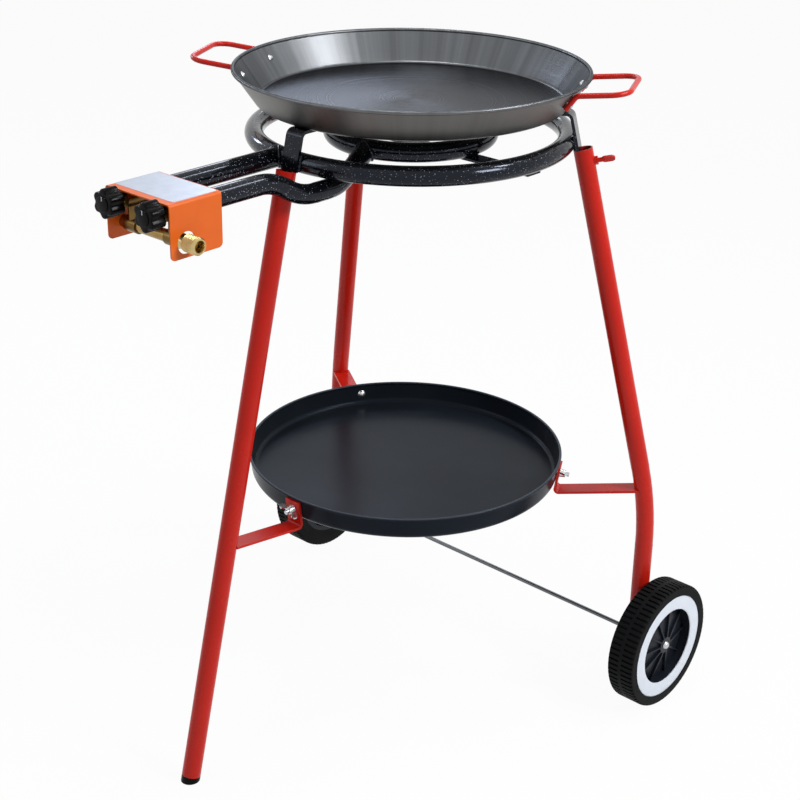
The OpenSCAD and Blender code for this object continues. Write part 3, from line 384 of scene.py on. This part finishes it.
# Bright fasteners: zinc-plated rail screw, tray bolts, wing nuts, washers, axle caps and handle rivets.
# Plating is pale and bright, with a faint cloudy bloom.
zinc = bpy.data.materials.new("zinc_plated_steel")
tree = blank_tree(zinc)
place = add(tree, "ShaderNodeTexCoord").outputs["Object"]
bloom = add(tree, "ShaderNodeTexNoise", {"Vector": place, "Scale": 1 / 0.006, "Detail": 3.0})
tone = add(tree, "ShaderNodeMix", {0: bloom.outputs[0], 6: linear("#d4d7da"), 7: linear("#aeb2b5")},
           data_type="RGBA")
dull = add(tree, "ShaderNodeMapRange", {"Value": bloom.outputs[0], "To Min": 0.18, "To Max": 0.38})
shader = add(tree, "ShaderNodeBsdfPrincipled", {
    "Base Color": tone.outputs[2], "Metallic": 1.0, "Roughness": dull.outputs[0],
})
add(tree, "ShaderNodeOutputMaterial", {"Surface": shader.outputs[0]})
finish_nodes(zinc, "rail_screw", "tray_bolts", "front_wing_nut", "right_wing_nut", "left_wing_nut",
             "axle_washers", "axle_caps", "handle_rivets")


# Knobs: glossy black plastic with six lobes, pressed on the flats of the valve stems.
# The moulding has rounded lobes, a dished face and a raised button in the middle.
black_plastic = bpy.data.materials.new("moulded_black_abs")
tree = blank_tree(black_plastic)
place = add(tree, "ShaderNodeTexCoord").outputs["Object"]
# The mould's spark finish is about 0.3 mm; it is drawn at 0.9 mm so that it shows.
spark = add(tree, "ShaderNodeTexNoise", {"Vector": place, "Scale": 1 / 0.0009, "Detail": 1.0})
skin = add(tree, "ShaderNodeBump", {"Height": spark.outputs[0], "Strength": 0.04, "Distance": 0.0001})
sheen = add(tree, "ShaderNodeTexNoise", {"Vector": place, "Scale": 1 / 0.01, "Detail": 2.0})
gloss = add(tree, "ShaderNodeMapRange", {"Value": sheen.outputs[0], "To Min": 0.14, "To Max": 0.3})
tone = add(tree, "ShaderNodeMix", {0: sheen.outputs[0], 6: linear("#040405"), 7: linear("#09090b")},
           data_type="RGBA")
shader = add(tree, "ShaderNodeBsdfPrincipled", {
    "Base Color": tone.outputs[2], "Roughness": gloss.outputs[0], "Normal": skin.outputs[0], "IOR": 1.53,
    "Specular IOR Level": 0.07,
})
add(tree, "ShaderNodeOutputMaterial", {"Surface": shader.outputs[0]})

# The pointers are white polyethylene, smooth from the mould, with a soft shine and a faint blue cast.
white_plastic = bpy.data.materials.new("moulded_white_polyethylene")
tree = blank_tree(white_plastic)
place = add(tree, "ShaderNodeTexCoord").outputs["Object"]
cloud = add(tree, "ShaderNodeTexNoise", {"Vector": place, "Scale": 1 / 0.03, "Detail": 2.0})
tone = add(tree, "ShaderNodeMix", {0: cloud.outputs[0], 6: linear("#e4eaf3"), 7: linear("#d9e1ed")},
           data_type="RGBA")
gloss = add(tree, "ShaderNodeMapRange", {"Value": cloud.outputs[0], "To Min": 0.28, "To Max": 0.42})
shader = add(tree, "ShaderNodeBsdfPrincipled", {
    "Base Color": tone.outputs[2], "Roughness": gloss.outputs[0], "IOR": 1.51,
})
add(tree, "ShaderNodeOutputMaterial", {"Surface": shader.outputs[0]})

knob_radius = 0.0175
knob_back = -0.348336
knob_length = 0.0205
knob_height = 0.8
lobes = 6
lobe_depth = 0.2
button_height = 0.003
for name, x in (("outer", -feed_offset), ("inner", feed_offset)):
    shape = bmesh.new()
    bmesh.ops.create_circle(shape, cap_ends=True, segments=120, radius=knob_radius)
    for v in shape.verts:
        turn = math.atan2(v.co.y, v.co.x)
        v.co *= 1 - lobe_depth * (0.5 + 0.5 * math.cos(lobes * turn)) ** 1.5
    grown = bmesh.ops.extrude_face_region(shape, geom=shape.faces[:])
    front = [f for f in grown["geom"] if isinstance(f, bmesh.types.BMFace)]
    bmesh.ops.translate(shape, verts=front[0].verts, vec=(0, 0, knob_length - button_height))
    for width, rise in ((0.0004, 0.0008), (0.0008, 0.0005), (0.0012, 0.0002)):
        bmesh.ops.inset_region(shape, faces=front, thickness=width, depth=rise)
    button = bmesh.ops.create_cone(shape, cap_ends=True, segments=64, radius1=0.0098, radius2=0.0094,
                                   depth=button_height,
                                   matrix=Matrix.Translation((0, 0, knob_length - 0.0017)))
    lip = {e for v in button["verts"] for e in v.link_edges if v.co.z > knob_length - 0.001}
    lip = [e for e in lip if all(v.co.z > knob_length - 0.001 for v in e.verts)]
    bmesh.ops.bevel(shape, geom=lip, offset=0.0006, affect="EDGES", segments=3, profile=0.5, material=-1)
    stand = Matrix.Translation((x, knob_back, knob_height)) @ Matrix.Rotation(math.pi / 2, 4, "X")
    bmesh.ops.transform(shape, matrix=stand, verts=shape.verts)
    bmesh.ops.recalc_face_normals(shape, faces=shape.faces)
    knob = object_from(shape, f"{name}_star_knob", black_plastic)
    knob.data.shade_smooth()
    knob.data.set_sharp_from_angle(angle=math.radians(50))
    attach(knob, f"{name}_knob")
    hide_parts(f"{name}_knob")

    shape = bmesh.new()
    seat = stand @ Matrix.Translation((0, 0.0062, knob_length - 0.0004))
    bmesh.ops.create_cube(shape, size=1, matrix=seat @ Matrix.Diagonal((0.0013, 0.0052, 0.0008, 1)))
    bmesh.ops.bevel(shape, geom=shape.edges[:], offset=0.0002, affect="EDGES", segments=2, profile=0.5,
                    material=-1)
    pointer = object_from(shape, f"{name}_knob_pointer", white_plastic)
    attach(pointer, f"{name}_knob")


# Legs: three red steel tubes, with their weld nuts, paddle clamp screws and flat-bar tray brackets.
# All are gloss powder coated, as the pan's wire handles are, and the coat lies in a faint orange peel.
# The front leg ends in a black plastic plug.
red_coat = bpy.data.materials.new("red_powder_coat")
tree = blank_tree(red_coat)
place = add(tree, "ShaderNodeTexCoord").outputs["Object"]
cloud = add(tree, "ShaderNodeTexNoise", {"Vector": place, "Scale": 1 / 0.07, "Detail": 3.0})
tone = add(tree, "ShaderNodeMix", {0: cloud.outputs[0], 6: linear("#cf2415"), 7: linear("#bc1b10")},
           data_type="RGBA")
# Orange peel is about 2 mm from hump to hump; it is drawn at 3 mm so that it shows.
peel = add(tree, "ShaderNodeTexNoise", {"Vector": place, "Scale": 1 / 0.003, "Detail": 1.0})
skin = add(tree, "ShaderNodeBump", {"Height": peel.outputs[0], "Strength": 0.10, "Distance": 0.0004})
gloss = add(tree, "ShaderNodeMapRange", {"Value": cloud.outputs[0], "To Min": 0.22, "To Max": 0.34})
shader = add(tree, "ShaderNodeBsdfPrincipled", {
    "Base Color": tone.outputs[2], "Roughness": gloss.outputs[0], "Normal": skin.outputs[0], "IOR": 1.5,
    "Specular IOR Level": 0.2,
})
add(tree, "ShaderNodeOutputMaterial", {"Surface": shader.outputs[0]})
finish_nodes(red_coat, "front_leg", "right_leg", "left_leg", "clamp_nuts", "front_clamp_screw",
             "right_clamp_screw", "left_clamp_screw", "front_tray_bracket", "right_tray_bracket",
             "left_tray_bracket", "right_pan_handle", "left_pan_handle")
finish_nodes(black_plastic, "foot_plug_cap")


# Lower tray: a spun steel dish with a rolled edge, stove enamelled satin black.
# The coat is even and fine, with a soft broad shine.
satin_black = bpy.data.materials.new("satin_black_stove_enamel")
tree = blank_tree(satin_black)
place = add(tree, "ShaderNodeTexCoord").outputs["Object"]
cloud = add(tree, "ShaderNodeTexNoise", {"Vector": place, "Scale": 1 / 0.06, "Detail": 4.0})
tone = add(tree, "ShaderNodeMix", {0: cloud.outputs[0], 6: linear("#161b21"), 7: linear("#1e242b")},
           data_type="RGBA")
# The top of the rolled edge is made paler by height: this is a painted highlight, the bright line that the
# bead catches from the lamps.
height = add(tree, "ShaderNodeSeparateXYZ", {0: place}).outputs["Z"]
painted_rim_highlight = add(tree, "ShaderNodeMapRange", {"Value": height, "From Min": 0.3462, "From Max": 0.3478})
tone = add(tree, "ShaderNodeMix", {0: painted_rim_highlight.outputs[0], 6: tone.outputs[2], 7: linear("#454b55")},
           data_type="RGBA")
# The coat's grain is about 0.4 mm; it is drawn at 1.4 mm so that it shows.
grain = add(tree, "ShaderNodeTexNoise", {"Vector": place, "Scale": 1 / 0.0014, "Detail": 1.0})
skin = add(tree, "ShaderNodeBump", {"Height": grain.outputs[0], "Strength": 0.12, "Distance": 0.0002})
gloss = add(tree, "ShaderNodeMapRange", {"Value": cloud.outputs[0], "To Min": 0.20, "To Max": 0.30})
shader = add(tree, "ShaderNodeBsdfPrincipled", {
    "Base Color": tone.outputs[2], "Roughness": gloss.outputs[0], "Normal": skin.outputs[0], "IOR": 1.5,
    "Specular IOR Level": 0.07, "Specular Tint": linear("#d3e2ff"),
})
add(tree, "ShaderNodeOutputMaterial", {"Surface": shader.outputs[0]})


def dish_outline(corner, bend, rim, bead, sheet):
    # Line round a spun dish, from under the middle of its floor, out, round its rolled edge and back inside.
    # All sizes are in millimetres: corner and rim are pairs of radius and height.
    slope = math.atan2(rim[1] - corner[1], rim[0] - corner[0])
    centre = (corner[0] - bend * math.tan(slope / 2), corner[1] + bend)
    foot = (centre[0] + bend * math.sin(slope), centre[1] - bend * math.cos(slope))
    outline = []
    for side in (1, -1):
        half = side * sheet / 2
        line = [(r, corner[1] - half) for r in (0, 30, 60, 90, 120, 150)]
        for i in range(11):
            turn = slope * i / 10
            radius = bend + half
            line.append((centre[0] + radius * math.sin(turn), centre[1] - radius * math.cos(turn)))
        for share in (0.25, 0.5, 0.75):
            line.append((foot[0] + share * (rim[0] - foot[0]) + half * math.sin(slope),
                         foot[1] + share * (rim[1] - foot[1]) - half * math.cos(slope)))
        outline += line if side == 1 else line[::-1]
        if side == 1:
            meet = math.asin(sheet / bead)
            for i in range(21):
                turn = slope - math.pi + meet + (2 * math.pi - 2 * meet) * i / 20
                outline.append((rim[0] + bead / 2 * math.cos(turn), rim[1] + bead / 2 * math.sin(turn)))
    return outline


tray_corner = (213.87, 316.6)
tray_rim = (218, 346)
tray = spun_piece("stove_enamelled_tray", dish_outline(tray_corner, 8, tray_rim, 4, 1.2),
                  (0, burner_axis_y, 0), (0, 0, 1), satin_black, "stand", steps=144)
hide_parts("lower_tray")


# Axle: a bright drawn steel rod that the two wheels turn on.
# Drawing through a die leaves faint scratches along it.
drawn_steel = bpy.data.materials.new("bright_drawn_steel")
tree = blank_tree(drawn_steel)
place = add(tree, "ShaderNodeTexCoord").outputs["Object"]
# The scratches are finer than 0.1 mm; they are drawn at 1 mm so that they show.
stretch = add(tree, "ShaderNodeMapping", {"Vector": place, "Scale": (0.02, 1, 1)})
scratch = add(tree, "ShaderNodeTexNoise", {"Vector": stretch.outputs[0], "Scale": 1 / 0.001, "Detail": 2.0})
tone = add(tree, "ShaderNodeMix", {0: scratch.outputs[0], 6: linear("#75777a"), 7: linear("#525457")},
           data_type="RGBA")
marks = add(tree, "ShaderNodeBump", {"Height": scratch.outputs[0], "Strength": 0.2, "Distance": 0.0002})
shader = add(tree, "ShaderNodeBsdfPrincipled", {
    "Base Color": tone.outputs[2], "Metallic": 1.0, "Roughness": 0.32, "Normal": marks.outputs[0],
})
add(tree, "ShaderNodeOutputMaterial", {"Surface": shader.outputs[0]})
finish_nodes(drawn_steel, "axle")


# Wheels: blow-moulded black hubs, rubber tyres with two rows of slots, and white trim rings snapped in.
# The rubber is dull and a little dusty, and the trim is smooth white plastic with a faint blue cast.
rubber = bpy.data.materials.new("moulded_tyre_rubber")
tree = blank_tree(rubber)
place = add(tree, "ShaderNodeTexCoord").outputs["Object"]
dust = add(tree, "ShaderNodeTexNoise", {"Vector": place, "Scale": 1 / 0.02, "Detail": 4.0})
tone = add(tree, "ShaderNodeMix", {0: dust.outputs[0], 6: linear("#08090a"), 7: linear("#111214")},
           data_type="RGBA")
# The mould's grain is about 0.5 mm; it is drawn at 1.2 mm so that it shows.
grain = add(tree, "ShaderNodeTexNoise", {"Vector": place, "Scale": 1 / 0.0012, "Detail": 2.0})
skin = add(tree, "ShaderNodeBump", {"Height": grain.outputs[0], "Strength": 0.2, "Distance": 0.0003})
gloss = add(tree, "ShaderNodeMapRange", {"Value": dust.outputs[0], "To Min": 0.5, "To Max": 0.75})
shader = add(tree, "ShaderNodeBsdfPrincipled", {
    "Base Color": tone.outputs[2], "Roughness": gloss.outputs[0], "Normal": skin.outputs[0], "IOR": 1.52,
    "Specular IOR Level": 0.08,
})
add(tree, "ShaderNodeOutputMaterial", {"Surface": shader.outputs[0]})
finish_nodes(rubber, "right_tyre", "left_tyre")

# The hub's plastic is left as it came from the mould, greyer than the tyre and with a soft even shine.
hub_plastic = bpy.data.materials.new("blow_moulded_polypropylene")
tree = blank_tree(hub_plastic)
place = add(tree, "ShaderNodeTexCoord").outputs["Object"]
cloud = add(tree, "ShaderNodeTexNoise", {"Vector": place, "Scale": 1 / 0.015, "Detail": 3.0})
tone = add(tree, "ShaderNodeMix", {0: cloud.outputs[0], 6: linear("#161a21"), 7: linear("#21262f")},
           data_type="RGBA")
gloss = add(tree, "ShaderNodeMapRange", {"Value": cloud.outputs[0], "To Min": 0.3, "To Max": 0.42})
shader = add(tree, "ShaderNodeBsdfPrincipled", {
    "Base Color": tone.outputs[2], "Roughness": gloss.outputs[0], "IOR": 1.49, "Specular IOR Level": 0.2,
})
add(tree, "ShaderNodeOutputMaterial", {"Surface": shader.outputs[0]})
finish_nodes(hub_plastic, "right_wheel_hub", "left_wheel_hub")

trim_seat = 0.350143
axle_y = 0.277835
axle_height = 0.091
trim_outline = [(56, 0), (76.5, 0), (76.5, 1.2), (75.9, 1.65), (74.5, 1.8), (66, 1.8), (58, 1.8),
                (56.6, 1.65), (56, 1.2)]
for name, way in (("right", 1), ("left", -1)):
    ring = spun_piece(f"{name}_white_trim", trim_outline, (way * trim_seat, axle_y, axle_height), (way, 0, 0),
                      white_plastic, f"{name}_wheel", steps=96)
    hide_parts(f"{name}_trim_ring")


# Pan: raw steel, spun to a shallow dish with a rolled edge and polished on the inside.
# The wall keeps pale streaks and the floor fine rings, and the outside was only ground, so it is browner.
pan_corner = (199, 841.75)
pan_rim = (227.5, 882.5)
pan_steels = []
for name, dark, pale, smoothest, dullest, stretch, flat_angle in (
    ("polished_raw_steel", "#3f4041", "#73767a", 0.22, 0.38, 0.7, "#bcbcbc"),
    ("buffed_raw_steel", "#57595d", "#74767a", 0.20, 0.30, 0.45, "#b8b8b8"),
    ("ground_raw_steel", "#605f5d", "#787775", 0.34, 0.42, 0.5, "#ffffff"),
):
    pan_steel = bpy.data.materials.new(name)
    tree = blank_tree(pan_steel)
    place = add(tree, "ShaderNodeTexCoord").outputs["Object"]
    centred = add(tree, "ShaderNodeMapping", {"Vector": place, "Location": (0, -burner_axis_y, 0)})
    flat = add(tree, "ShaderNodeVectorMath", {0: centred.outputs[0], 1: (1, 1, 0)}, operation="MULTIPLY")
    distance = add(tree, "ShaderNodeVectorMath", {0: flat.outputs[0]}, operation="LENGTH").outputs["Value"]
    heading = add(tree, "ShaderNodeVectorMath", {0: flat.outputs[0]}, operation="NORMALIZE")
    # Polishing rings lie about 0.5 mm apart; they are drawn at 1.5 mm so that they show.
    rings = add(tree, "ShaderNodeTexNoise", {"W": distance, "Scale": 1 / 0.0015, "Detail": 2.0},
                noise_dimensions="1D")
    # Streaks stand about 16.25 mm apart at the rim, which the heading takes as a circle with a radius of 1.
    streaks = add(tree, "ShaderNodeTexNoise", {"Vector": heading.outputs[0], "Scale": pan_rim[0] / 16.25,
                                               "Detail": 5.0, "Roughness": 0.65})
    pattern = rings if name == "buffed_raw_steel" else streaks
    tone = add(tree, "ShaderNodeMix", {0: pattern.outputs[0], 6: linear(dark), 7: linear(pale)},
               data_type="RGBA")
    polish = add(tree, "ShaderNodeMapRange", {"Value": pattern.outputs[0], "To Min": smoothest,
                                              "To Max": dullest})
    marks = add(tree, "ShaderNodeBump", {"Height": rings.outputs[0], "Strength": 0.12, "Distance": 0.0003})
    # Fine rings round the axis stretch every reflection across them, so bright fans stand on the wall.
    around = add(tree, "ShaderNodeVectorMath", {0: (0, 0, 1), 1: heading.outputs[0]},
                 operation="CROSS_PRODUCT")
    shader = add(tree, "ShaderNodeBsdfPrincipled", {
        "Base Color": tone.outputs[2], "Metallic": 1.0, "Roughness": polish.outputs[0],
        "Normal": marks.outputs[0], "Anisotropic": stretch, "Tangent": around.outputs[0],
        "Specular Tint": linear(flat_angle),
    })
    add(tree, "ShaderNodeOutputMaterial", {"Surface": shader.outputs[0]})
    pan_steels.append(pan_steel)
pan = spun_piece("spun_steel_pan", dish_outline(pan_corner, 8, pan_rim, 5, 1.5),
                 (0, burner_axis_y, 0), (0, 0, 1), pan_steels[0], "pan", steps=160)
pan.data.materials.append(pan_steels[1])
pan.data.materials.append(pan_steels[2])
# Faces that look up low in the pan are its floor, and those that look down are its outside.
for face in pan.data.polygons:
    if face.normal.z > 0.9 and face.center.z < 0.85:
        face.material_index = 1
    elif face.normal.z < -0.1:
        face.material_index = 2
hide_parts("paella_pan")
